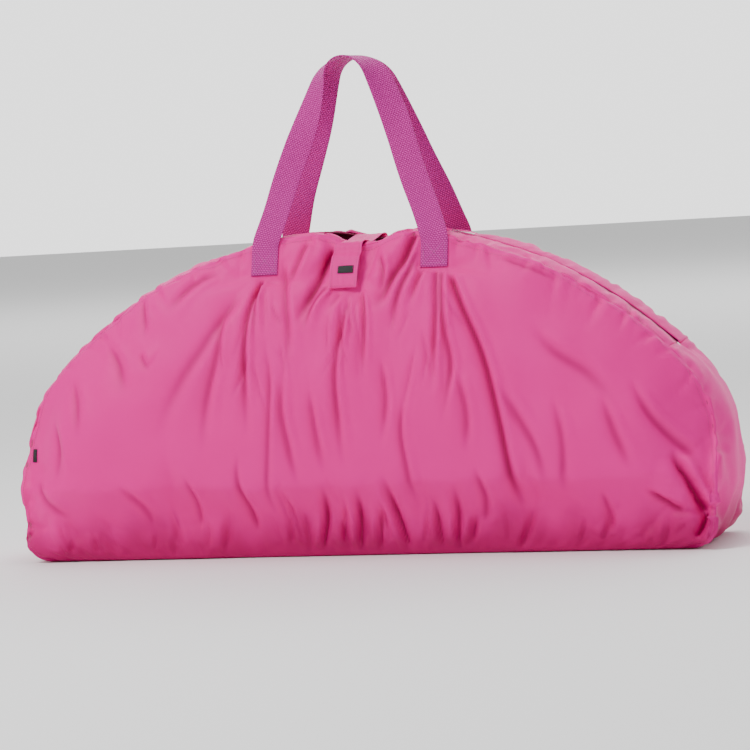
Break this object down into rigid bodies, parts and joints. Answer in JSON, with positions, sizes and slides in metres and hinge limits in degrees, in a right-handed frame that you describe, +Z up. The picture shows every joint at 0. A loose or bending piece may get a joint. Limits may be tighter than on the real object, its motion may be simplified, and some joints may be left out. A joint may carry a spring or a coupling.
{
  "type": "half-moon carry bag",
  "caption": "Long half-moon nylon carry bag with a two-way zip along its arched top, webbing handles and a closing tab over the mouth.",
  "frame": {"origin": "on the floor, in the middle of the bag's base", "axes": "+X along the bag to its right end, -Y to its front panel, +Z up"},
  "size_m": [0.98, 0.236, 0.676],
  "materials": {
    "bag_cloth": "thin coated nylon with a low sheen",
    "webbing": "coarse flat weave",
    "thread": "twisted polyester",
    "zip_tape": "fine herringbone weave",
    "zip_teeth": "moulded nylon coil",
    "zip_metal": "plated zinc",
    "label_cloth": "woven satin",
    "fastener_tape": "hook and loop",
    "binding_tape": "folded grosgrain"
  },
  "bodies": {
    "bag": {"base_panel": "bag_cloth", "right_end_gusset": "bag_cloth", "left_end_gusset": "bag_cloth", "zip_end_stops": "zip_metal", "closing_tab_anchor": "bag_cloth", "closing_tab_loop_patch": "fastener_tape", "side_label": "label_cloth", "front_panel": "bag_cloth", "front_zip_strip": "bag_cloth", "front_zip_tape": "zip_tape", "front_zip_teeth": "zip_teeth", "front_seam_binding": "binding_tape", "front_handle_ends": "webbing", "front_handle_stitching": "thread", "front_handle_backing": "bag_cloth", "rear_panel": "bag_cloth", "rear_zip_strip": "bag_cloth", "rear_zip_tape": "zip_tape", "rear_zip_teeth": "zip_teeth", "rear_seam_binding": "binding_tape", "rear_handle_ends": "webbing", "rear_handle_stitching": "thread", "rear_handle_backing": "bag_cloth"},
    "front_handle": {"front_handle_loop": "webbing"},
    "rear_handle": {"rear_handle_loop": "webbing"},
    "closing_tab": {"closing_tab_flap": "bag_cloth", "closing_tab_hook_patch": "fastener_tape", "closing_tab_label": "label_cloth"},
    "right_slider": {"right_zip_slider": "zip_metal"},
    "left_slider": {"left_zip_slider": "zip_metal"},
    "right_pull": {"right_zip_pull": "zip_metal"},
    "left_pull": {"left_zip_pull": "zip_metal"}
  },
  "joints": [
    {"name": "front_handle_swing", "type": "hinge", "parent": "bag", "child": "front_handle", "pos_m": [0, -0.06199, 0.426], "axis": [1, 0, 0], "range_deg": [0, 150]},
    {"name": "rear_handle_swing", "type": "hinge", "parent": "bag", "child": "rear_handle", "pos_m": [0, 0.06199, 0.426], "axis": [-1, 0, 0], "range_deg": [0, 150]},
    {"name": "closing_tab_lift", "type": "hinge", "parent": "bag", "child": "closing_tab", "pos_m": [0, 0.0575, 0.4412], "axis": [-1, 0, 0], "range_deg": [0, 150]},
    {"name": "right_slider_travel", "type": "hinge", "parent": "bag", "child": "right_slider", "pos_m": [0, 0, -0.17], "axis": [0, 1, 0], "range_deg": [0, 30.5]},
    {"name": "left_slider_travel", "type": "hinge", "parent": "bag", "child": "left_slider", "pos_m": [0, 0, -0.17], "axis": [0, -1, 0], "range_deg": [0, 30.5]},
    {"name": "right_pull_swing", "type": "hinge", "parent": "right_slider", "child": "right_pull", "pos_m": [0.13174, 0, 0.42919], "axis": [0, -1, 0], "range_deg": [0, 165]},
    {"name": "left_pull_swing", "type": "hinge", "parent": "left_slider", "child": "left_pull", "pos_m": [-0.13174, 0, 0.42919], "axis": [0, 1, 0], "range_deg": [0, 165]}
  ]
}
